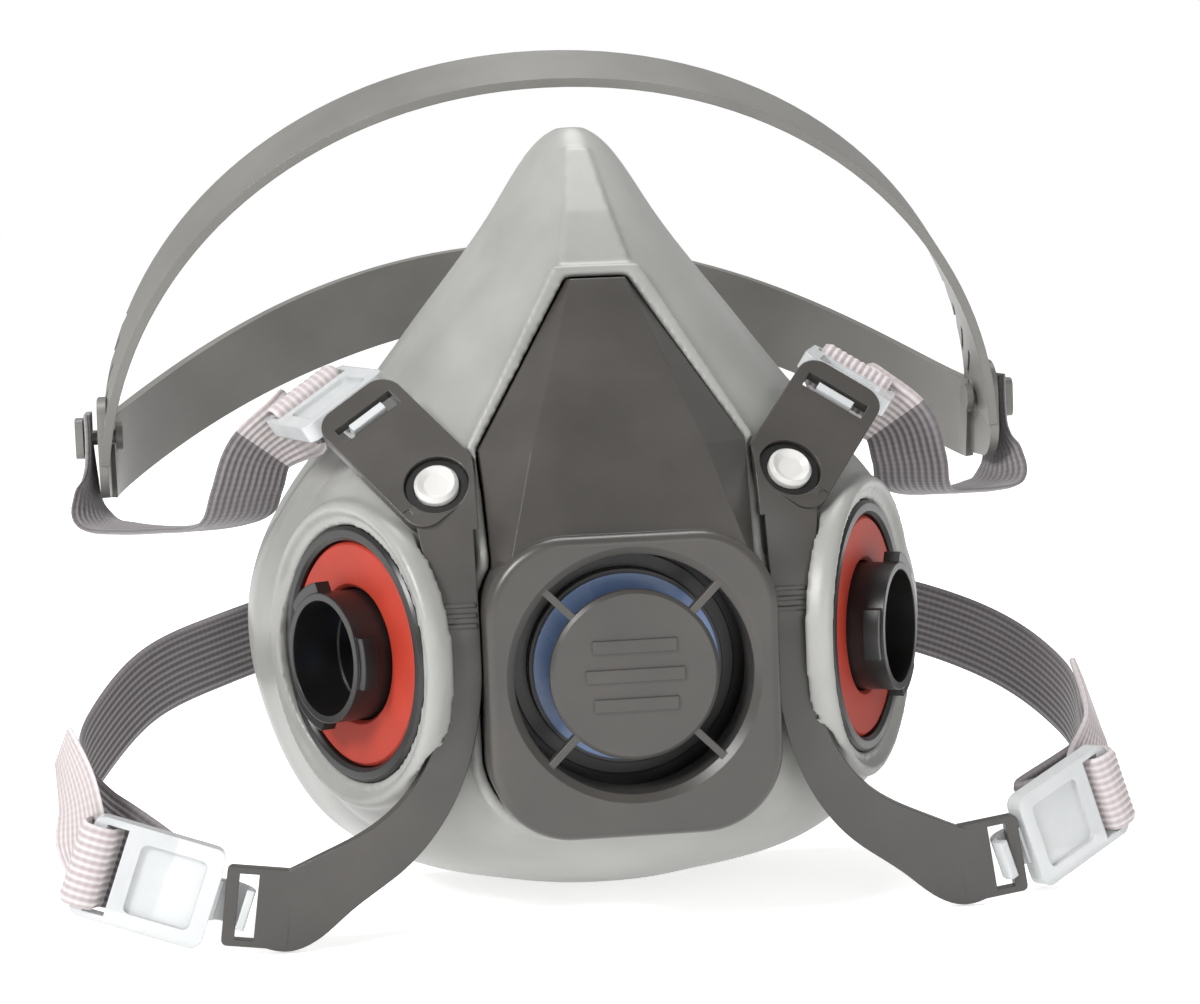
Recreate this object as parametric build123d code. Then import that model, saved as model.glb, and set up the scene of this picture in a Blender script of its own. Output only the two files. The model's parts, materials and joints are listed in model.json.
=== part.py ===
from build123d import *
import math
import os

os.makedirs("parts", exist_ok=True)

# Half-facepiece respirator, upright as worn. Millimetres throughout.
# x: wearer-left is +x, y: towards the wearer, z: up. The exhalation valve axis is y, through x = z = 0.

# ---------- driving dimensions ----------
wall = 2.4                  # elastomer wall
flange_width = 12.0         # sealing lip turned in towards the face
port_tilt = 61.0            # inlet axis, degrees round from straight ahead
port_x, port_y, port_z = 46.2, -53.3, 2.5
bore_radius, tube_wall, tube_length = 10.2, 1.3, 6.5
gasket_radius, ring_width = 20.0, 2.6   # the black retaining ring lies round the gasket
tube_radius = bore_radius + tube_wall
ring_inner, ring_radius = gasket_radius + 0.2, gasket_radius + 0.2 + ring_width
port_flange, neck_radius = gasket_radius + 2.0, bore_radius + 5.3
valve_front = -80.75        # front plane of the valve cover
grille_radius, disc_radius = 20.6, 14.6
boss_half, boss_top, boss_bottom, boss_corner = 25.2, 24.0, -28.0, 14.0
cover_wall = 1.5
flap_radius = 16.3          # exhalation flap
arm_thickness = 2.2
tab_width = 16.5            # upper end of each harness arm
arm_inner, tab_inner = 25.5, 24.6    # inner edges of the arms beside the cover, low and high
slot_length, slot_gap, bar = 11.6, 3.4, 2.2
webbing_width, webbing_thickness, webbing_step = 14.5, 1.3, 3.0
buckle_length, buckle_rim, buckle_thickness = 23.5, 1.75, 3.2
buckle_width = webbing_width + 2 * buckle_rim
hook_length = 7.2
post_radius, bush_radius = 3.9, 5.6
crown_half, crown_rise, crown_width = 91.0, 79.0, 20.0
rear_depth, rear_rise, rear_height = 42.0, 32.0, 18.0
band_thickness = 1.8

# Facepiece stations: height, half width, front y, rear y, squareness of the section.
FACE = [
    (-46.6, 17.0, -25.0, -6.0, 2.0),
    (-44.8, 28.0, -36.0, -5.0, 2.2),
    (-40.0, 42.0, -50.0, -3.0, 2.4),
    (-30.0, 54.0, -64.5, 0.0, 2.5),
    (-14.0, 61.5, -69.5, 2.0, 2.6),
    (6.0, 64.0, -70.0, 3.0, 2.6),
    (26.0, 56.5, -68.0, 2.0, 2.5),
    (44.0, 42.5, -61.0, -2.0, 2.3),
    (62.0, 28.5, -53.0, -7.0, 2.1),
    (80.0, 15.0, -38.5, -13.0, 2.0),
    (90.0, 8.5, -28.5, -16.0, 2.0),
    (95.0, 2.5, -21.5, -18.0, 2.0),
]
# Cover stations: height, half width, half width of the front facet, edge y, front y, rear y.
COVER = [
    (67.0, 5.4, 4.9, -48.5, -51.0, -45.0),
    (38.0, 23.4, 15.2, -62.5, -70.5, -56.0),
    (20.0, 22.6, 20.4, -72.0, -79.5, -64.0),
    (8.0, 22.6, 20.4, -72.0, -79.5, -64.0),
]


# ---------- helpers ----------
def save(name, shape):
    """Write one node."""
    shape.label = name
    export_step(shape, f"parts/{name}.step")


def both(name, right):
    """Write a part built on the +x side and its mirror image."""
    save(f"{name}_left", right)
    save(f"{name}_right", mirror(right, about=Plane.YZ))


def between(rows, z):
    """Row of a station table at height z, straight-line between stations."""
    rows = sorted(rows)
    for low, high in zip(rows, rows[1:]):
        if low[0] <= z <= high[0]:
            k = (z - low[0]) / (high[0] - low[0])
            return tuple(a + k * (b - a) for a, b in zip(low, high))
    return rows[0] if z < rows[0][0] else rows[-1]


def cup(heights, inset, front_inset, rear_shift):
    """Facepiece body, or a copy of it drawn in by an inset, lofted through flat sections."""
    sections = []
    for z in heights:
        _, half, front, rear, square = between(FACE, z)
        half, front, rear = half - inset, front + front_inset, rear + rear_shift
        points = []
        for angle in (-90, -72, -54, -36, -18, 0, 18, 36, 54, 72, 90):
            s, c = math.sin(math.radians(angle)), abs(math.cos(math.radians(angle)))
            x = half * math.copysign(abs(s) ** (2 / square), s)
            points.append((x, rear - (rear - front) * c ** (2 / square), z))
        curve = Spline(points, tangents=[(0, -1, 0), (0, 1, 0)])
        sections.append(make_face(curve + Line(points[-1], points[0])))
    return loft(sections)


def rounded(half, top, bottom, corner, y_front, y_rear):
    """Rounded block on the valve axis between two y planes."""
    height = top - bottom
    sketch = Plane.XZ.offset(-y_rear) * Pos(0, (top + bottom) / 2) * RectangleRounded(
        2 * half, height, corner)
    return extrude(sketch, y_rear - y_front)


def slab(inset, ahead, behind):
    """Plate with the cover outline, from `ahead` of to `behind` the cover's rear edge."""
    faces = []
    for index, (z, half, _, _, _, rear) in enumerate(COVER):
        z = z - (inset if index == 0 else 0)
        half = half - inset
        points = [(-half, rear - ahead, z), (half, rear - ahead, z),
                  (half, rear + behind, z), (-half, rear + behind, z)]
        faces.append(make_face(Polyline(*points, close=True)))
    rear = COVER[-1][5]
    boss = rounded(boss_half - inset, boss_top - inset, boss_bottom + inset,
                   boss_corner - inset, rear - ahead, rear + behind)
    return loft(faces, ruled=True) + boss


def cover_body(inset, front_inset, rear_extra):
    """Faceted outside of the valve cover, or its hollow when inset."""
    faces = []
    for index, (z, half, facet, edge, front, rear) in enumerate(COVER):
        z = z - (inset if index == 0 else 0)
        half, facet = half - inset, facet - inset * 0.8
        edge, front, rear = edge + front_inset * 0.6, front + front_inset, rear + rear_extra
        points = [(-half, rear, z), (-half, edge, z), (-facet, front, z),
                  (facet, front, z), (half, edge, z), (half, rear, z)]
        faces.append(make_face(Polyline(*points, close=True)))
    rear = COVER[-1][5] + rear_extra
    boss = rounded(boss_half - inset, boss_top - inset, boss_bottom + inset,
                   boss_corner - inset, valve_front + front_inset, rear)
    return loft(faces, ruled=True), boss


def turned(points):
    """Solid of revolution about local z from (radius, z) points."""
    profile = make_face(Polyline(*[(r, 0, z) for r, z in points], close=True))
    return revolve(profile, Axis.Z)


def ring(outer, inner, low, high):
    """Plain ring about local z."""
    return turned([(inner, low), (outer, low), (outer, high), (inner, high)])


def spoked(radius, hub, count, width, low, high, start=0.0):
    """Spokes from a hub out to a radius, about local z."""
    tall = high - low
    shape = Pos(0, 0, low + tall / 2) * Cylinder(hub, tall)
    for i in range(count):
        angle = start + i * 360 / count
        length = radius - hub / 2
        shape += Rot(0, 0, angle) * Pos(hub / 2 + length / 2, 0, low + tall / 2) * Box(
            length, width, tall)
    return shape


def band(stations, thickness):
    """Flat strip lofted through (centre, normal, width) stations."""
    centres = [Vector(*s[0]) for s in stations]
    sections = []
    for i, (centre, normal, width) in enumerate(stations):
        before, after = centres[max(i - 1, 0)], centres[min(i + 1, len(centres) - 1)]
        along = (after - before).normalized()
        across = along.cross(Vector(*normal)).normalized()
        sections.append(Plane(centres[i], x_dir=across, z_dir=along) * Rectangle(
            width, thickness))
    return loft(sections)


# ---------- frames, and the arm outline that the facepiece and the arm share ----------
port = Plane((port_x, port_y, port_z), x_dir=(0, 0, 1), z_dir=(
    math.sin(math.radians(port_tilt)), -math.cos(math.radians(port_tilt)), 0))
valve = Plane((0, 0, 0), x_dir=(1, 0, 0), z_dir=(0, -1, 0))

post_at = Vector(31.0, -62.7, 32.0)
slot_at = Vector(41.8, -52.0, 43.7)
tab_up = (slot_at - post_at).normalized()
tab_face = Vector(0.154, -0.796, 0.585)
tab_face = (tab_face - tab_up * tab_face.dot(tab_up)).normalized()
tab_across = tab_up.cross(tab_face)
tab = Plane(post_at, x_dir=tab_across, z_dir=tab_face)
slot_distance = (slot_at - post_at).length

end_rise = 8.0              # lower slots lean this far from upright, degrees
end_at = Vector(67.2, -63.6, -39.0)
end_out = Vector(math.cos(math.radians(end_rise)), 0, math.sin(math.radians(end_rise)))
end = Plane(end_at, x_dir=end_out, z_dir=(0, -1, 0))


def arm_body(grow):
    """Harness arm without its openings; `grow` thickens it for the channel it lies in."""
    plate = Pos(0, (slot_distance - 0.7) / 2) * RectangleRounded(
        tab_width + 2 * grow, slot_distance + 11.3 + 2 * grow, 4.0)
    stations = [
        (tuple(post_at - tab_up * 0.5), tuple(tab_face), tab_width),
        (tuple(post_at - tab_up * 5.5), tuple(tab_face), tab_width - 1.2),
        ((29.2, -68.0, 21.0), (0.05, -0.97, 0.25), 10.4),
        ((28.6, -72.0, 8.0), (0.0, -1.0, 0.05), 6.4),
        ((29.4, -72.0, -6.0), (-0.1, -1.0, 0.0), 6.4),
        ((34.0, -69.6, -19.5), (-0.15, -1.0, 0.0), 7.6),
        ((42.8, -66.2, -30.0), (-0.1, -1.0, 0.0), 9.5),
        ((52.6, -64.2, -36.2), (0.0, -1.0, 0.0), 11.5),
        (tuple(end_at - end_out * 8.0), (0.0, -1.0, 0.0), 13.6),
        (tuple(end_at - end_out * 4.0), (0.0, -1.0, 0.0), 14.0),
    ]
    stations = [(at, face, width + 2 * grow) for at, face, width in stations]
    thick = arm_thickness + 2 * grow
    body = extrude(tab * plate, thick / 2, both=True) + band(stations, thick)
    keep = Pos(arm_inner - grow + 100, 0, 0) * Box(200, 400, 400)
    keep += Pos(tab_inner - grow + 100, 0, 125) * Box(200, 400, 200)
    return body & keep


# ---------- elastomer facepiece ----------
outside = cup([row[0] for row in FACE], 0, 0, 0)
hollow = cup([-42.5, -38, -30, -14, 6, 26, 44, 62, 78, 85], wall, wall * 1.2, -2.0)
opening = cup([-31, -26, -14, 6, 26, 44, 60, 72], flange_width, 25.0, 8.0)

pod_stations = [(0.0, 26.8, 26.8, 0.0), (-4.5, 31.5, 27.2, -3.4),
                (-10.0, 35.0, 27.6, -6.6), (-26.0, 33.0, 25.0, -11.0)]
hollow_stations = [(-7.5, 30.0, 23.0, -6.4), (-13.0, 31.0, 24.0, -7.6), (-27.0, 30.0, 22.5, -11.0)]
pod = loft([Pos(0, shift, z) * Ellipse(tall, wide) for z, tall, wide, shift in pod_stations])
pod += turned([(20.0, -3.0), (20.0, 0.6), (ring_radius + 1.0, 0.6), (ring_radius + 1.3, 0.2),
               (ring_radius + 1.8, 0.4), (ring_radius + 2.4, 1.5), (ring_radius + 3.4, 1.8),
               (ring_radius + 4.3, 1.2), (ring_radius + 4.8, -0.2), (ring_radius + 4.8, -3.0)])
pod_hollow = loft([Pos(0, shift, z) * Ellipse(tall, wide)
                   for z, tall, wide, shift in hollow_stations])
recess = turned([(0, -15.0), (neck_radius + 2.5, -15.0), (neck_radius + 2.5, -7.6),
                 (neck_radius + 0.1, -7.6), (neck_radius + 0.1, -5.0),
                 (port_flange + 0.1, -5.0), (port_flange + 0.1, -2.6), (ring_radius + 0.1, -2.6),
                 (ring_radius + 0.1, 8.0), (0, 8.0)])
post_hole = turned([(0, -16.0), (4.4, -16.0), (4.4, -8.3), (2.6, -8.3), (2.6, -2.6),
                    (bush_radius + 0.3, -2.6), (bush_radius + 0.3, 8.0), (0, 8.0)])

# One half is cut and then mirrored.
half_space = Pos(100, 0, 0) * Box(200, 400, 400)
bridge = []                 # flat ridge from the top of the cover to the tip of the nose
for z, half in ((66.0, 7.4), (79.0, 4.4), (91.0, 2.2)):
    front = between(FACE, z)[2]
    bridge.append(Pos(0, front + 1.2, z) * Rectangle(2 * half, 4.0))
shell = (outside & half_space) + port * pod + (slab(-2.4, 4.2, 4.0) & half_space)
shell += loft(bridge, ruled=True) & half_space
cavity = (hollow & half_space) + port * pod_hollow - slab(-3.2, 14.0, 5.0)
faceseal = shell & half_space
for cut in (cavity, opening, slab(-0.3, 40.0, 14.0), port * recess, tab * post_hole,
            arm_body(0.5)):
    faceseal = faceseal - cut
faceseal = faceseal.solids().sort_by(SortBy.VOLUME)[-1]
faceseal += mirror(faceseal, about=Plane.YZ)
save("faceseal", faceseal)

# ---------- centre housing and exhalation valve ----------
housing = slab(0, 0, 5.0) + slab(-2.0, -5.4, 6.8) + slab(0, -4.0, 6.0)
housing -= valve * Pos(0, 0, 60) * Cylinder(17.1, 30)
for step in range(3):
    housing -= Pos(0, -50, 30.0 + 9.0 * step) * Box(16 - 3 * step, 30, 5)
save("front_housing", housing)

seat = ring(17.0, 14.4, 57.4, 69.0) + ring(19.6, 16.5, 64.0, 65.4)
seat += spoked(14.8, 3.2, 4, 1.4, 64.8, 67.0)
seat -= Pos(0, 0, 66) * Cylinder(1.6, 8)
save("exhalation_seat", valve * seat)

flap = turned([(0, 69.1), (0, 70.6), (2.6, 70.6), (5, 70.0), (flap_radius, 69.8), (flap_radius, 69.1)])
flap += Pos(0, 0, 66.2) * Cylinder(1.3, 6.2) + Pos(0, 0, 62.8) * Cylinder(2.3, 1.2)
save("exhalation_flap", valve * flap)

facets, boss = cover_body(0, 0, 0)
boss = fillet(boss.faces().sort_by(Axis.Y)[0].edges(), 1.8)
inner_facets, inner_boss = cover_body(cover_wall, cover_wall, 3.0)
cover = (facets + boss) - inner_facets - inner_boss
shroud = ring(grille_radius + 1.6, grille_radius, 70.6, -valve_front)
cover += valve * shroud
cover -= valve * Pos(0, 0, 80) * Cylinder(grille_radius, 8)
cover -= valve * turned([(0, -valve_front - 1.2), (grille_radius, -valve_front - 1.2),
                         (grille_radius + 1.4, -valve_front + 0.01), (0, -valve_front + 0.01)])
grille = turned([(0, 78.4), (disc_radius - 0.4, 78.4), (disc_radius, 78.8),
                 (disc_radius, 79.9), (disc_radius - 0.7, 80.5), (0, 80.5)])
for i in range(4):
    grille += Rot(0, 0, 45 + 90 * i) * Pos((disc_radius + grille_radius + 0.8) / 2, 0, 78.9) * Box(
        grille_radius - disc_radius + 1.4, 1.3, 2.2)
for row in (-5.0, 0.0, 5.0):    # three plain raised bars on the disc
    grille += Pos(0, row, 80.5) * Box(17.0 - 0.5 * abs(row), 2.2, 0.8)
cover += valve * grille
save("valve_cover", cover)

# ---------- inlets ----------
body = turned([
    (bore_radius, tube_length), (tube_radius, tube_length), (tube_radius, -2.6), (port_flange, -2.6),
    (port_flange, -5.0), (neck_radius, -5.0), (neck_radius, -7.7), (neck_radius + 2.3, -7.7),
    (neck_radius + 2.3, -9.4), (bore_radius + 2.3, -9.4), (bore_radius + 2.3, -10.4),
    (bore_radius - 0.4, -10.4), (bore_radius - 0.4, -2.8), (bore_radius, -2.8)])
for i in range(3):
    lug = ring(tube_radius + 1.9, tube_radius - 0.5, tube_length - 3.3, tube_length - 0.4)
    wedge = Rot(0, 0, 120 * i + 90) * Pos(tube_radius + 0.5, 0, 5) * Box(8, 9, 8)
    body += lug & wedge
body += spoked(bore_radius + 0.4, 3.2, 3, 1.2, -8.8, -6.0, start=60)
body -= Pos(0, 0, -7) * Cylinder(1.6, 8)
both("inlet_port", port * body)

gasket = turned([(tube_radius + 0.4, -2.6), (gasket_radius, -2.6), (gasket_radius, -0.6),
                 (gasket_radius - 0.6, 0), (tube_radius + 1.0, 0), (tube_radius + 0.4, -0.6)])
both("inlet_gasket", port * gasket)

port_ring = turned([(ring_inner, -2.6), (ring_radius, -2.6), (ring_radius, 0.2),
                    (ring_radius - 0.6, 0.8), (ring_inner + 0.6, 0.8), (ring_inner, 0.2)])
both("port_ring", port * port_ring)

inlet_flap = turned([(0, -10.5), (bore_radius + 2.0, -10.5), (bore_radius + 2.0, -11.2), (4, -11.4),
                     (2.6, -12.0), (0, -12.0)])
inlet_flap += Pos(0, 0, -7.4) * Cylinder(1.3, 7.0) + Pos(0, 0, -4.0) * Cylinder(2.3, 1.2)
both("inhalation_flap", port * inlet_flap)

# ---------- harness arms, posts and bushes ----------
tip = Pos(-1.8, 0) * RectangleRounded(11.4, 14.0, 1.0)
arm = arm_body(0) + extrude(end * tip, arm_thickness / 2, both=True)
arm -= end * Box(slot_gap, slot_length, 10)
arm -= tab * Pos(0, slot_distance) * Box(slot_length + 0.6, slot_gap, 10)
arm -= tab * Cylinder(bush_radius + 0.1, 10)
for row in range(3):        # small grip ribs beside the cover
    height = 12.4 - 1.7 * row
    arm += Pos(28.7, -72.7 + (height - 8) * 0.3, height) * Box(5.6, 2.0, 0.7)
both("harness_arm", arm)

post = turned([(0, 0.9), (2.2, 1.1), (3.3, 2.0), (post_radius, 1.2), (post_radius, -0.6),
               (2.5, -0.6), (2.5, -8.4), (3.8, -8.4), (3.8, -9.6), (0, -9.6)])
both("post", tab * post)
both("arm_bush", tab * ring(bush_radius, post_radius + 0.1, -2.4, 0.3))


# ---------- buckles and webbing ----------
def hinge_frame(centre, out, face, tilt=0.0, swing=0.0):
    """Frame on a slot bar: x runs out along the buckle, z faces the front, y lies along the bar."""
    along = face.cross(out).normalized()
    out, face = out.normalized(), face.normalized()
    c, s = math.cos(math.radians(swing)), math.sin(math.radians(swing))
    out, face = out * c - face * s, face * c + out * s
    c, s = math.cos(math.radians(tilt)), math.sin(math.radians(tilt))
    return Plane(centre, x_dir=out * c + along * s, z_dir=face)


def buckle(inner, outer):
    """Webbing buckle: a C hook round the slot bar, a framed plate, and a slot for the webbing."""
    start, reach = outer - 0.6, outer - 0.4 + buckle_length
    plate = Pos((start + reach) / 2, 0) * RectangleRounded(reach - start, buckle_width, 2.2)
    plate -= Pos(reach - 4.3, 0) * Rectangle(3.8, webbing_width + 1.0)
    shape = extrude(plate, buckle_thickness / 2, both=True)
    field = Pos((start + reach - 6.2) / 2, 0) * RectangleRounded(
        reach - start - 12.0, buckle_width - 5.6, 1.2)
    shape -= Pos(0, 0, buckle_thickness / 2 - 0.9) * extrude(field, 2)
    hook = Rot(90, 0, 0) * (Cylinder(outer, hook_length) - Cylinder(inner, 12))
    hook &= Pos(0, 0, -10) * Box(40, 40, 20) + Pos(-10, 0, -4) * Box(20, 40, 10.6)
    return (shape - Rot(90, 0, 0) * Cylinder(inner, 30)) + hook


def wrap_path(outer):
    """Webbing round the end bar of a buckle: behind the plate, up the slot and over the bar."""
    reach = outer - 0.4 + buckle_length
    return [(reach - 7.6, -2.9), (reach - 5.2, -2.0), (reach - 4.2, 0.0), (reach - 3.5, 2.1),
            (reach - 1.6, 2.8), (reach + 0.8, 2.2), (reach + 1.5, 0.0), (reach + 1.2, -3.0)]


def webbing(points):
    """Webbing through (centre, across) points: short straight pieces along one smooth line."""
    centres = [Vector(*at) for at, _ in points]
    lengths = [(b - a).length for a, b in zip(centres, centres[1:])]
    line, total, done = Spline(centres), sum(lengths), 0.0
    sections, last = [], None
    for i, length in enumerate(lengths):
        first, second = Vector(*points[i][1]), Vector(*points[i + 1][1])
        steps = max(1, round(length / webbing_step))
        for k in range(steps + (i == len(lengths) - 1)):
            part = k / steps
            where = (done + part * length) / total
            along = line.tangent_at(where)
            across = first * (1 - part) + second * part
            across = (across - along * along.dot(across)).normalized()
            if last is not None and across.dot(last) < 0:
                across = across * -1
            last = across
            sections.append(Plane(line.position_at(where), x_dir=across, z_dir=along)
                            * Rectangle(webbing_width, webbing_thickness))
        done += length
    return loft(sections, ruled=True)


def place(frame, x, z):
    """Point of a buckle frame in world coordinates."""
    return Vector(*frame.from_local_coords(Vector(x, 0, z)))


def strap(frame, outer, inner_end, outer_end):
    """One strap, from its end under the buckle plate, round the end bar and on from there."""
    turn = [(place(frame, x, z), frame.y_dir) for x, z in wrap_path(outer)]
    chain = [(Vector(*at), Vector(*across)) for at, across in reversed(inner_end)] + turn
    chain += [(Vector(*at), Vector(*across)) for at, across in outer_end]
    points = []
    for at, across in chain:
        if points and points[-1][1].dot(across) < 0:
            across = across * -1
        points.append((at, across))
    return webbing(points)


def mirrored(shape):
    """The same part on the other side."""
    return mirror(shape, about=Plane.YZ)


upper_bar = post_at + tab_up * (slot_distance + slot_gap / 2 + 1.8)
upper_frame = hinge_frame(upper_bar, tab_up, tab_face, swing=45.0)
upper_inner, upper_outer = 2.9, 4.3
upper = upper_frame * buckle(upper_inner, upper_outer)
upper -= tab * Pos(0, slot_distance + 2, arm_thickness / 2 + 10) * Box(30, 12, 20)
both("upper_buckle", upper)
button_y, button_z = 28.5, 38.0
strap_x = crown_half + 3.0  # the upper straps end just outside the ends of the cradle
strap_out = 52.75 + webbing_width / 2   # and hang clear of the cheeks, further out when wider
upper_strap = strap(
    upper_frame, upper_outer,
    [(place(upper_frame, x, -3.2), upper_frame.y_dir) for x in (16.0, 12.0, 8.5)],
    [((strap_out, -22.5, 37.5), (0.75, -0.5, 0.4)), ((strap_out + 3.2, -20.0, 30.0), (0.9, -0.4, 0.1)),
     ((strap_out + 5.0, -15.0, 24.8), (0.92, -0.38, 0.0)),
     ((strap_out + 8.5, -7.0, 22.4), (0.8, -0.6, 0.0)),
     ((75.0, 3.0, 21.0), (0.75, -0.66, 0.05)), ((83.5, 13.0, 20.2), (0.72, -0.69, 0.05)),
     ((crown_half + 0.2, 22.0, 20.8), (0.6, -0.8, 0.0)),
     ((strap_x - 0.2, 26.5, 25.0), (0.3, -0.95, 0.0)),
     ((strap_x, button_y, 30.5), (0.1, -1.0, 0.0)),
     ((strap_x, button_y, button_z - 1.5), (0.0, -1.0, 0.0)),
     ((strap_x, button_y, button_z + 5.0), (0.0, -1.0, 0.0))])
upper_strap -= Pos(strap_x, button_y, button_z) * Rot(0, 90, 0) * Cylinder(1.6, 6)
both("upper_strap", upper_strap)

lower_bar = end_at + end_out * (slot_gap + bar) / 2
lower_inner, lower_outer = 2.3, 3.5
lower_face = Vector(0, -1, 0)
up = (0.0, 0.0, -1.0)
lower_frames = [hinge_frame(lower_bar, end_out, lower_face, tilt=12.0, swing=turn)
                for turn in (28.0, 2.0)]
lower_runs = [
    [((88.5, -42.0, -30.0), up), ((93.0, -30.0, -25.5), up), ((93.5, -16.0, -19.0), up),
     ((86.0, 1.0, -11.5), up), ((71.0, 16.0, -5.5), up), ((48.0, 33.5, -1.0), up)],
    [((91.0, -46.0, -27.0), up), ((95.5, -34.0, -21.5), up), ((93.0, -21.0, -16.0), up),
     ((83.5, -4.0, -8.0), up), ((68.5, 13.0, -4.0), up), ((48.0, 33.5, -1.0), up)],
]
clasp_at, clasp_out = Vector(19.0, 46.3, 0), Vector(0.92, -0.39, 0).normalized()
clasp_end = [(clasp_at + clasp_out * far, up) for far in (14.0, 7.0, 1.0)]
lower_leads = [(13.0, -9.0), (14.0, -5.5), (16.0, -3.6)]
lower_tails = [
    [((92.2, -41.0, -21.0), (0.4, 0.5, -0.75)), ((90.8, -35.0, -10.5), (0.35, 0.9, -0.3))],
    [((95.6, -52.5, -21.0), (0.45, 0.5, -0.75)), ((98.0, -46.5, -12.0), (0.3, 0.9, -0.3))],
]
for side, frame, run_on, tail in zip(("left", "right"), lower_frames, lower_runs, lower_tails):
    held = frame * buckle(lower_inner, lower_outer)
    lead = [(place(frame, x, z), frame.y_dir) for x, z in reversed(lower_leads)]
    drop = [(place(frame, lower_outer + buckle_length + 0.4, -7.0), frame.y_dir)]
    held_strap = strap(frame, lower_outer, lead + run_on + clasp_end, drop + tail)
    if side == "right":
        held, held_strap = mirrored(held), mirrored(held_strap)
    save(f"lower_buckle_{side}", held)
    save(f"lower_strap_{side}", held_strap)

# ---------- head cradle ----------
def crown_point(angle):
    """Centre, normal and width of the crown band at an angle round it."""
    c, s = math.cos(math.radians(angle)), math.sin(math.radians(angle))
    power = 2 / 2.05
    return (crown_half * math.copysign(abs(c) ** power, c), 30 - 26 * s,
            28.5 + crown_rise * s ** power), (c, -0.42 * s, s + 0.02), crown_width - 3 * s


crown = band([crown_point(a) for a in (5, 12, 25, 40, 57, 75, 90, 105, 123, 140, 155, 168, 175)],
             band_thickness)


def rear_point(angle):
    """Centre, normal and width of the rear band at an angle round it."""
    c, s = math.cos(math.radians(angle)), math.sin(math.radians(angle))
    return ((crown_half - 1.0) * c, 34 + rear_depth * s, 33.5 + rear_rise * s * s), (
        c, s, 0.25 * s), rear_height - 1


rear = band([rear_point(a) for a in (0, 15, 30, 50, 70, 90, 110, 130, 150, 165, 180)],
            band_thickness)
cradle = crown + rear
for sign in (1, -1):
    tip = Plane((sign * (crown_half - 0.9), 0, 0), x_dir=(0, 1, 0), z_dir=(sign, 0, 0))
    plate = Pos(button_y, sign * (button_z - 2)) * RectangleRounded(20.0, 20.0, 6.5)
    cradle += extrude(tip * plate, band_thickness)
    cradle -= Pos(sign * crown_half, button_y, button_z) * Rot(0, 90, 0) * Cylinder(1.6, 12)
    for row in range(4):    # ladder of strap slots near each end
        cradle -= Pos(sign * (crown_half - 1), button_y + 0.8 * row, button_z + 7.5 + 5.0 * row) * Rot(
            -35, 0, 0) * Box(14, 8.0, 1.3)
save("head_cradle", cradle)

keeper = fillet(Box(1.6, 9.0, 8.0).edges().filter_by(Axis.X), 1.6)
keeper = Pos(strap_x + 1.75, button_y, button_z) * keeper
keeper += Pos(strap_x - 2.5, button_y, button_z) * Rot(0, 90, 0) * Cylinder(1.5, 7.2)
keeper += Pos(strap_x - 6.1, button_y, button_z) * Rot(0, 90, 0) * Cylinder(3.0, 1.4)
both("strap_keeper", keeper)

# ---------- neck clasp, undone ----------
for side, sign in (("left", 1), ("right", -1)):
    clasp = Plane(clasp_at, x_dir=clasp_out, z_dir=(0.39, 0.92, 0))
    shape = RectangleRounded(14.0, webbing_width + 4.5, 2.0)
    shape = extrude(shape, 2.2, both=True)
    shape -= Pos(4.6, 0, 0) * Box(10.0, webbing_width + 1.0, webbing_thickness + 1.2)
    if sign > 0:    # loop half
        loop = extrude(Pos(-10.0, 0) * (RectangleRounded(9.0, 15.0, 2.0) - Pos(-0.4, 0)
                                        * RectangleRounded(4.6, 10.0, 1.0)), 1.1, both=True)
        shape += loop
    else:           # hook half
        hook = Pos(-9.0, 0, 0) * Box(6.0, 8.6, 2.2) + Pos(-11.4, 0, 2.0) * Box(1.8, 8.6, 6.0)
        hook += Pos(-9.8, 0, 4.4) * Box(5.0, 8.6, 1.4)
        shape += hook
    shape = clasp * shape
    save("neck_clasp_loop" if sign > 0 else "neck_clasp_hook",
         shape if sign > 0 else mirrored(shape))
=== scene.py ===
"""Looks of the half-facepiece respirator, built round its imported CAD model. Metres, z up, front at -y."""
import json
import math

import bpy
from mathutils import Matrix, Vector


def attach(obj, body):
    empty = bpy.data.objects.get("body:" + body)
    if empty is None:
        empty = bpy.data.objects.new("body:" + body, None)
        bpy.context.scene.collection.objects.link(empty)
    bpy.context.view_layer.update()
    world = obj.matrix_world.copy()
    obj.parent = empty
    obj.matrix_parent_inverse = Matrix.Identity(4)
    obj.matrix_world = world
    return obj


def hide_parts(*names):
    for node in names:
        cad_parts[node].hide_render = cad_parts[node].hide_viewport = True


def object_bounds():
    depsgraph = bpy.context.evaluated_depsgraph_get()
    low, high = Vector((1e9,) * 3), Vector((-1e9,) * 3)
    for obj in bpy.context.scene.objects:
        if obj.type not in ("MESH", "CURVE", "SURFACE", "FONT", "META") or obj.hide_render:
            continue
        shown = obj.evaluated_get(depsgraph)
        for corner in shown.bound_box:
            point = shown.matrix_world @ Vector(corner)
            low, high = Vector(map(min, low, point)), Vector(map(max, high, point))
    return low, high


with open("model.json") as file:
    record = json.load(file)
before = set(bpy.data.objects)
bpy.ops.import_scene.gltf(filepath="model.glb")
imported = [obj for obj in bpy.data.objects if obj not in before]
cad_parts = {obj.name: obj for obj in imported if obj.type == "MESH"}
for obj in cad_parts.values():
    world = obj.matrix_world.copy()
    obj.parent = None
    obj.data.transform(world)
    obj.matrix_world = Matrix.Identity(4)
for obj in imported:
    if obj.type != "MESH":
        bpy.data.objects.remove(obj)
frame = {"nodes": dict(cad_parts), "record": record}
cad_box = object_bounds()
nodes = frame["nodes"]
MM = 0.001

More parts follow.
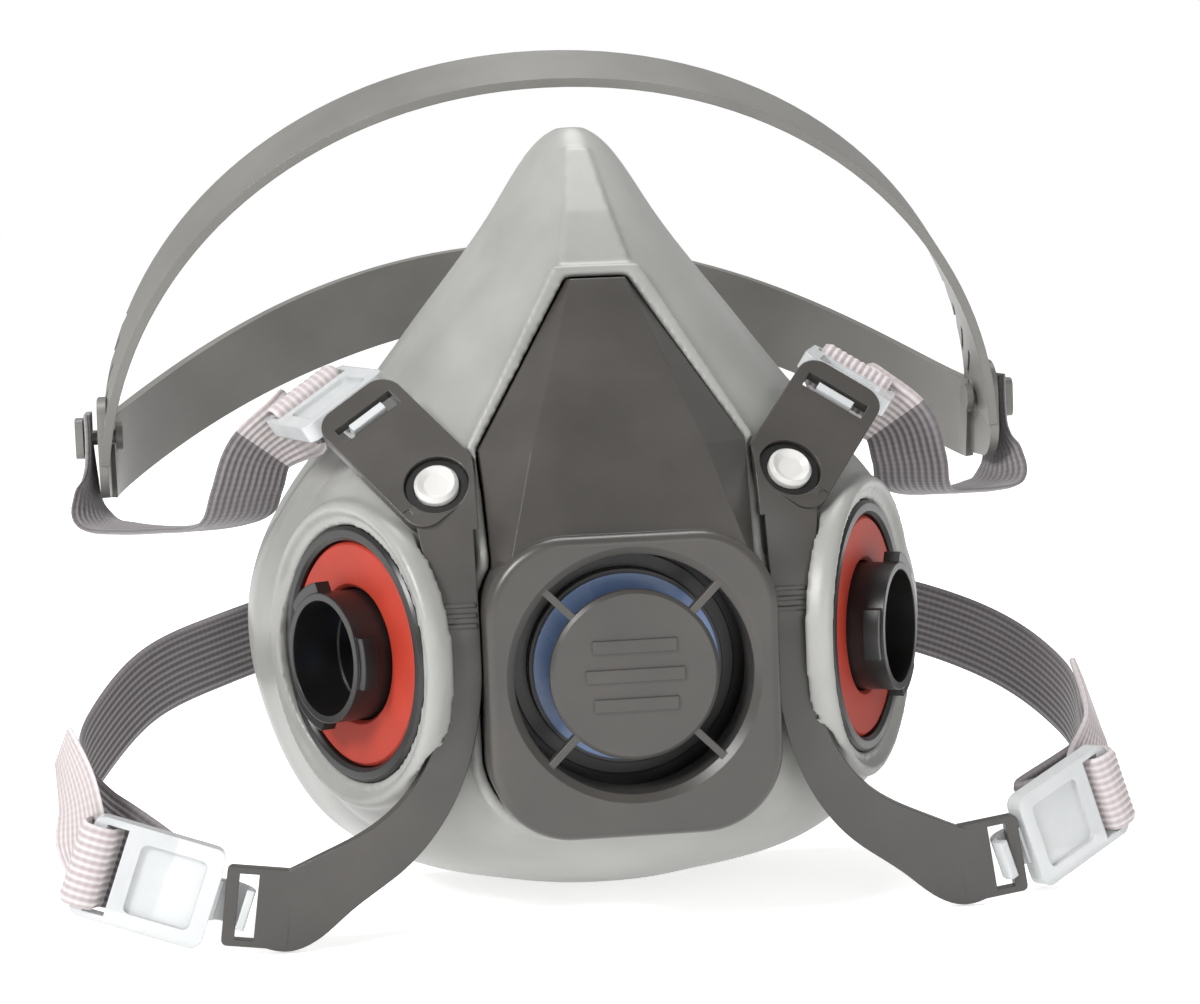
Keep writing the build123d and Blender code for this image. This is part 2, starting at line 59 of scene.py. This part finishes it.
# ---------- driving values ----------
EYE = (-0.0675, -0.5557, 0.0727)        # camera place
TURN, RISE, ROLL = -7.496, 5.122, 2.188     # camera azimuth, elevation and roll, degrees
LENS = 85.75
VOXEL = 0.6 * MM                       # remesh size of the moulded elastomer
WEB_WIDTH, WEB_THICK = 14.5 * MM, 1.25 * MM
WEB_RIBS = 11                           # lengthwise ribs across the webbing
WEB_STEP = 0.8 * MM                     # spacing of the webbing's cross sections
RIB_HEIGHT = 0.10 * MM
PICK_PITCH = 1.3 * MM                   # spacing of the threads across the webbing
UPPER_REACH, LOWER_REACH = 27.4, 26.6   # slot bar to the far end of a buckle, millimetres
UPPER_PALE, LOWER_PALE = range(5, 11), range(13, 22)    # rows of a strap that show its pale side
FLOOR_HALF, FLOOR_GAP = 6.0, 0.5 * MM
STUDIO_LIGHT, BACKDROP = 0.52, 1.0      # world brightness that lights the part, and that the camera sees


# ---------- materials ----------
def link(tree, a, out, b, into):
    tree.links.new(a.outputs[out], b.inputs[into])


def surface(name, dark, light, rough, patch=120.0, grain=1800.0, bump=0.15, grain_depth=0.05,
            edge=0.35, **fixed):
    """Moulded finish: colour drifts between two tones in patches, with a fine grain in the surface."""
    material = bpy.data.materials.new(name)
    material.use_nodes = True
    tree = material.node_tree
    shader = tree.nodes["Principled BSDF"]
    where = tree.nodes.new("ShaderNodeTexCoord")
    blotch, fine = (tree.nodes.new("ShaderNodeTexNoise") for _ in range(2))
    blotch.inputs["Scale"].default_value, blotch.inputs["Detail"].default_value = patch, 5.0
    fine.inputs["Scale"].default_value, fine.inputs["Detail"].default_value = grain, 3.0
    ramp = tree.nodes.new("ShaderNodeValToRGB")
    ramp.color_ramp.elements[0].position, ramp.color_ramp.elements[1].position = 0.3, 0.7
    ramp.color_ramp.elements[0].color, ramp.color_ramp.elements[1].color = (*dark, 1), (*light, 1)
    gloss = tree.nodes.new("ShaderNodeMapRange")
    gloss.inputs["To Min"].default_value = rough - 0.06
    gloss.inputs["To Max"].default_value = rough + 0.08
    relief = tree.nodes.new("ShaderNodeBump")
    relief.inputs["Strength"].default_value = bump
    relief.inputs["Distance"].default_value = grain_depth * MM
    link(tree, where, "Object", blotch, "Vector")
    link(tree, where, "Object", fine, "Vector")
    link(tree, blotch, "Fac", ramp, "Fac")
    link(tree, blotch, "Fac", gloss, "Value")
    link(tree, fine, "Fac", relief, "Height")
    link(tree, ramp, "Color", shader, "Base Color")
    link(tree, gloss, "Result", shader, "Roughness")
    link(tree, relief, "Normal", shader, "Normal")
    if edge:
        round_off = tree.nodes.new("ShaderNodeBevel")
        round_off.samples = 6
        round_off.inputs["Radius"].default_value = edge * MM
        link(tree, round_off, "Normal", relief, "Normal")
    for socket, value in fixed.items():
        shader.inputs[socket.replace("_", " ")].default_value = value
    return material


def woven(name, dark, light, picks):
    """Elastic webbing: light ribs along it, and picks across it as strong as asked."""
    material = surface(name, dark, light, 0.75, edge=0, Sheen_Weight=0.25)
    tree = material.node_tree
    shader = tree.nodes["Principled BSDF"]
    where = tree.nodes["Texture Coordinate"]
    split = tree.nodes.new("ShaderNodeSeparateXYZ")
    link(tree, where, "UV", split, "Vector")
    rows = []
    for axis, scale in (("Y", 2 * math.pi / PICK_PITCH), ("X", WEB_RIBS * 2 * math.pi)):
        wave = tree.nodes.new("ShaderNodeMath")
        wave.operation = "MULTIPLY"
        wave.inputs[1].default_value = scale
        sine = tree.nodes.new("ShaderNodeMath")
        sine.operation = "SINE"
        link(tree, split, axis, wave, 0)
        link(tree, wave, 0, sine, 0)
        rows.append(sine)
    weave = tree.nodes.new("ShaderNodeMath")
    weave.operation = "MULTIPLY_ADD"
    link(tree, rows[0], 0, weave, 0)
    link(tree, rows[1], 0, weave, 2)
    weave.inputs[1].default_value = picks
    relief = tree.nodes.new("ShaderNodeBump")
    relief.inputs["Strength"].default_value = 0.7
    relief.inputs["Distance"].default_value = 0.12 * MM
    link(tree, weave, 0, relief, "Height")
    link(tree, relief, "Normal", shader, "Normal")
    tint = tree.nodes.new("ShaderNodeValToRGB")
    tint.color_ramp.elements[0].color = (*dark, 1)
    tint.color_ramp.elements[1].color = (*light, 1)
    spread = tree.nodes.new("ShaderNodeMapRange")
    spread.inputs["From Min"].default_value = -1.6
    spread.inputs["From Max"].default_value = 1.6
    link(tree, weave, 0, spread, "Value")
    link(tree, spread, "Result", tint, "Fac")
    link(tree, tint, "Color", shader, "Base Color")
    return material


MATERIALS = {
    "elastomer": surface("elastomer", (0.215, 0.215, 0.202), (0.290, 0.291, 0.277), 0.38, patch=38,
                         grain=2600, edge=0, Sheen_Weight=0.05),
    "dark_plastic": surface("dark_plastic", (0.036, 0.033, 0.030), (0.047, 0.043, 0.039), 0.33,
                            patch=70),
    "black_plastic": surface("black_plastic", (0.005, 0.0045, 0.0044), (0.010, 0.009, 0.0085), 0.32),
    "gasket_rubber": surface("gasket_rubber", (0.29, 0.019, 0.006), (0.35, 0.025, 0.009), 0.6),
    "valve_rubber": surface("valve_rubber", (0.100, 0.165, 0.32), (0.140, 0.215, 0.39), 0.25),
    "white_plastic": surface("white_plastic", (0.46, 0.455, 0.44), (0.54, 0.535, 0.52), 0.22),
    "clear_plastic": surface("clear_plastic", (0.60, 0.615, 0.62), (0.66, 0.675, 0.68), 0.18,
                             Transmission_Weight=0.35, IOR=1.45),
    "cradle_plastic": surface("cradle_plastic", (0.125, 0.122, 0.112), (0.160, 0.156, 0.144), 0.34,
                              patch=50, edge=0.2),
    "webbing": woven("webbing", (0.068, 0.060, 0.064), (0.230, 0.212, 0.218), 0.2),
    "webbing_pale": woven("webbing_pale", (0.30, 0.245, 0.25), (0.56, 0.53, 0.53), 0.2),
}
slot_of = {part["node"]: part["material_slot"] for part in frame["record"]["subparts"]}
for node, piece in nodes.items():
    piece.data.materials.clear()
    piece.data.materials.append(MATERIALS[slot_of[node]])


# ---------- mesh helpers ----------
def add(name, mesh, body, node, slot):
    """New piece on a body, standing for a CAD node."""
    piece = bpy.data.objects.new(name, mesh)
    bpy.context.scene.collection.objects.link(piece)
    mesh.materials.clear()
    mesh.materials.append(MATERIALS[slot])
    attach(piece, body)
    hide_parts(node)
    return piece


def moulded(node, voxel, passes):
    """Mesh of a CAD node remeshed evenly and relaxed, as a moulding with soft edges."""
    rough = bpy.data.objects.new("moulding", nodes[node].data.copy())
    bpy.context.scene.collection.objects.link(rough)
    even = rough.modifiers.new("even", "REMESH")
    even.mode, even.voxel_size, even.use_smooth_shade = "VOXEL", voxel, True
    relax = rough.modifiers.new("relax", "SMOOTH")
    relax.factor, relax.iterations = 0.5, passes
    bpy.context.view_layer.update()
    ready = rough.evaluated_get(bpy.context.evaluated_depsgraph_get())
    mesh = bpy.data.meshes.new_from_object(ready)
    bpy.data.objects.remove(rough)
    for polygon in mesh.polygons:
        polygon.use_smooth = True
    return mesh


def smooth_line(points, step):
    """Catmull-Rom samples (place, across, row number), about a step apart, through strap rows."""
    rows = [(Vector(p[:3]) * MM, Vector(p[3:])) for p in points]
    rows = [rows[0]] + rows + [rows[-1]]
    line = []
    for index, (a, b, c, d) in enumerate(zip(rows, rows[1:], rows[2:], rows[3:])):
        count = max(1, round((c[0] - b[0]).length / step))
        for k in range(count):
            t = k / count
            weights = (-t + 2 * t ** 2 - t ** 3, 2 - 5 * t ** 2 + 3 * t ** 3,
                       t + 4 * t ** 2 - 3 * t ** 3, t ** 3 - t ** 2)
            line.append((*(sum((w * row[i] for w, row in zip(weights, (a, b, c, d))), Vector())
                           * 0.5 for i in range(2)), index))
    line.append((*rows[-1], len(points)))
    return line


def webbing(name, points, body, node, pale):
    """Ribbed elastic webbing along strap rows; the rows in `pale` show its pale side."""
    line = smooth_line(points, WEB_STEP)
    half, thick = WEB_WIDTH / 2, WEB_THICK / 2
    columns = WEB_RIBS * 4
    outline = []
    for side in (1, -1):
        for i in range(columns + 1):
            u = i / columns if side > 0 else 1 - i / columns
            edge = min(1.0, 0.25 + 14 * min(u, 1 - u))
            rib = RIB_HEIGHT * math.cos(2 * math.pi * WEB_RIBS * u) * (1 if 0 < i < columns else 0)
            outline.append((u, (u - 0.5) * 2 * half, side * (thick * edge - RIB_HEIGHT + rib)))
    vertices, lengths, along, last = [], [], 0.0, None
    for i, (centre, across, _) in enumerate(line):
        before, after = line[max(i - 1, 0)][0], line[min(i + 1, len(line) - 1)][0]
        forward = (after - before).normalized()
        across = (across - forward * across.dot(forward)).normalized()
        if last is not None and across.dot(last) < 0:
            across = -across
        last = across
        normal = forward.cross(across)
        if i:
            along += (centre - line[i - 1][0]).length
        lengths.append(along)
        vertices += [centre + across * a + normal * n for _, a, n in outline]
    ring = len(outline)
    faces = []
    for i in range(len(line) - 1):
        for k in range(ring):
            a, b = i * ring + k, i * ring + (k + 1) % ring
            faces.append((a, b, b + ring, a + ring))
    faces.append(tuple(reversed(range(ring))))
    faces.append(tuple(range(len(vertices) - ring, len(vertices))))
    mesh = bpy.data.meshes.new(name)
    mesh.from_pydata(vertices, [], faces)
    uv = mesh.uv_layers.new(name="weave")
    for loop in mesh.loops:
        row, column = divmod(loop.vertex_index, ring)
        uv.data[loop.index].uv = (outline[column][0], lengths[row])
    piece = add(name, mesh, body, node, "webbing")
    mesh.materials.append(MATERIALS["webbing_pale"])
    for polygon in mesh.polygons:
        polygon.use_smooth = len(polygon.vertices) == 4
        polygon.material_index = int(line[polygon.vertices[0] // ring][2] in pale)
    return piece


# ---------- facepiece ----------
add("facepiece_moulding", moulded("faceseal", VOXEL, 5), "facepiece", "faceseal", "elastomer")

# ---------- webbing ----------
WRAP = ((-7.6, -2.9), (-5.2, -2.0), (-4.2, 0.0), (-3.5, 2.1), (-1.6, 2.8), (0.8, 2.2), (1.5, 0.0),
        (1.2, -3.0))


def wrap(bar, out, face, reach, lead, drop=(), way=1):
    """Rows round a buckle's end bar; local x runs out along the buckle and z faces the front."""
    bar, out, face = Vector(bar), Vector(out), Vector(face)
    across = face.cross(out) * way
    local = [(x, z) for x, z in lead] + [(reach + x, z) for x, z in WRAP + tuple(drop)]
    return [(*(bar + out * x + face * z), *across) for x, z in local]


upper = wrap((43.78, -50.04, 45.77), (0.289, 0.957, 0.018), (0.507, -0.169, 0.845), UPPER_REACH,
             ((8.5, -3.2), (12.0, -3.2), (16.0, -3.2)))
upper += [(60.0, -22.5, 37.5, 0.75, -0.5, 0.4), (63.2, -20.0, 30.0, 0.9, -0.4, 0.1),
          (65.0, -15.0, 24.8, 0.92, -0.38, 0.0), (68.5, -7.0, 22.4, 0.8, -0.6, 0.0),
          (75.0, 3.0, 21.0, 0.75, -0.66, 0.05), (83.5, 13.0, 20.2, 0.72, -0.69, 0.05),
          (91.2, 22.0, 20.8, 0.6, -0.8, 0.0), (93.8, 26.5, 25.0, 0.3, -0.95, 0.0),
          (94.0, 28.5, 30.5, 0.1, -1.0, 0.0), (94.0, 28.5, 36.5, 0.0, -1.0, 0.0),
          (94.0, 28.5, 43.0, 0.0, -1.0, 0.0)]


def flip(rows):
    """The same rows on the other side."""
    return [(-x, y, z, -a, b, c) for x, y, z, a, b, c in rows]


webbing("upper_webbing_left", upper, "head_harness", "upper_strap_left", UPPER_PALE)
webbing("upper_webbing_right", flip(upper), "head_harness", "upper_strap_right", UPPER_PALE)

CLASP_END = [(19.9, 45.9, 0.0, 0, 0, -1), (25.4, 43.6, 0.0, 0, 0, -1), (31.9, 40.8, 0.0, 0, 0, -1),
             (48.0, 33.5, -1.0, 0, 0, -1)]
LOWER_BAR, LOWER_LEAN, LOWER_TILT = (69.97, -63.6, -38.61), 8.0, 12.0


def lower_wrap(swing):
    """Rows round a lower buckle that is leaned with its arm and swung back about its slot bar."""
    lean, tilt, swing = (math.radians(a) for a in (LOWER_LEAN, LOWER_TILT, swing))
    out, face = Vector((math.cos(lean), 0, math.sin(lean))), Vector((0, -1, 0))
    along = face.cross(out)
    out, face = (out * math.cos(swing) - face * math.sin(swing),
                 face * math.cos(swing) + out * math.sin(swing))
    out = out * math.cos(tilt) + along * math.sin(tilt)
    return wrap(LOWER_BAR, out, face, LOWER_REACH, ((13.0, -9.0), (14.0, -5.5), (16.0, -3.6)),
                drop=((0.8, -7.0),), way=-1)


lower_left = CLASP_END + [
    (71.0, 16.0, -5.5, 0, 0, -1), (86.0, 1.0, -11.5, 0, 0, -1), (93.5, -16.0, -19.0, 0, 0, -1),
    (93.0, -30.0, -25.5, 0, 0, -1), (88.5, -42.0, -30.0, 0, 0, -1)] + lower_wrap(28.0) + [
    (92.2, -41.0, -21.0, 0.40, 0.50, -0.75), (90.8, -35.0, -10.5, 0.35, 0.90, -0.30)]
lower_right = CLASP_END + [
    (68.5, 13.0, -4.0, 0, 0, -1), (83.5, -4.0, -8.0, 0, 0, -1), (93.0, -21.0, -16.0, 0, 0, -1),
    (95.5, -34.0, -21.5, 0, 0, -1), (91.0, -46.0, -27.0, 0, 0, -1)] + lower_wrap(2.0) + [
    (95.6, -52.5, -21.0, 0.45, 0.50, -0.75), (98.0, -46.5, -12.0, 0.30, 0.90, -0.30)]
webbing("lower_webbing_left", lower_left, "neck_strap_left", "lower_strap_left", LOWER_PALE)
webbing("lower_webbing_right", flip(lower_right), "neck_strap_right", "lower_strap_right", LOWER_PALE)

# ---------- floor, light and camera ----------
scene = bpy.context.scene
floor_mesh = bpy.data.meshes.new("floor")
corners = [(x * FLOOR_HALF, y * FLOOR_HALF, 0) for x, y in ((-1, -1), (1, -1), (1, 1), (-1, 1))]
floor_mesh.from_pydata(corners, [], [(0, 1, 2, 3)])
floor = bpy.data.objects.new("floor", floor_mesh)
floor.location.z = cad_box[0][2] - FLOOR_GAP
scene.collection.objects.link(floor)
floor_mesh.materials.append(surface("floor", (0.95, 0.95, 0.95), (0.97, 0.97, 0.97), 0.9, edge=0,
                                   Emission_Color=(1, 1, 1, 1), Emission_Strength=0.6))

world = bpy.data.worlds.new("studio")
world.use_nodes = True
studio = world.node_tree
plain, behind = studio.nodes["Background"], studio.nodes.new("ShaderNodeBackground")
for background, strength in ((plain, STUDIO_LIGHT), (behind, BACKDROP)):
    background.inputs["Color"].default_value = (1, 1, 1, 1)
    background.inputs["Strength"].default_value = strength
seen, choose = studio.nodes.new("ShaderNodeLightPath"), studio.nodes.new("ShaderNodeMixShader")
link(studio, seen, "Is Camera Ray", choose, 0)
link(studio, plain, 0, choose, 1)
link(studio, behind, 0, choose, 2)
link(studio, choose, 0, studio.nodes["World Output"], "Surface")
scene.world = world
scene.view_settings.view_transform = "Standard"


def lamp(name, place, target, size, power):
    data = bpy.data.lights.new(name, "AREA")
    data.shape, data.size, data.energy = "DISK", size, power
    light = bpy.data.objects.new(name, data)
    light.location = place
    light.rotation_euler = (Vector(target) - Vector(place)).to_track_quat("-Z", "Y").to_euler()
    scene.collection.objects.link(light)


lamp("key", (-0.75, -0.75, 0.75), (0, 0, 0.02), 0.45, 16.0)
lamp("front", (0.25, -1.2, 0.35), (0, 0, 0.02), 0.5, 2.2)
lamp("top", (0.1, 0.35, 1.1), (0, 0, 0.02), 0.6, 6.5)

azimuth, elevation, roll = (math.radians(a) for a in (TURN, RISE, ROLL))
back = Vector((math.sin(azimuth) * math.cos(elevation), -math.cos(azimuth) * math.cos(elevation),
               math.sin(elevation)))
side = (-back).cross(Vector((0, 0, 1))).normalized()
up = side.cross(-back)
right = side * math.cos(roll) - up * math.sin(roll)
above = side * math.sin(roll) + up * math.cos(roll)
camera_data = bpy.data.cameras.new("camera")
camera_data.lens, camera_data.sensor_width = LENS, 36.0
camera = bpy.data.objects.new("camera", camera_data)
pose = Matrix((right, above, back)).transposed().to_4x4()
pose.translation = Vector(EYE)
camera.matrix_world = pose
scene.collection.objects.link(camera)
scene.camera = camera
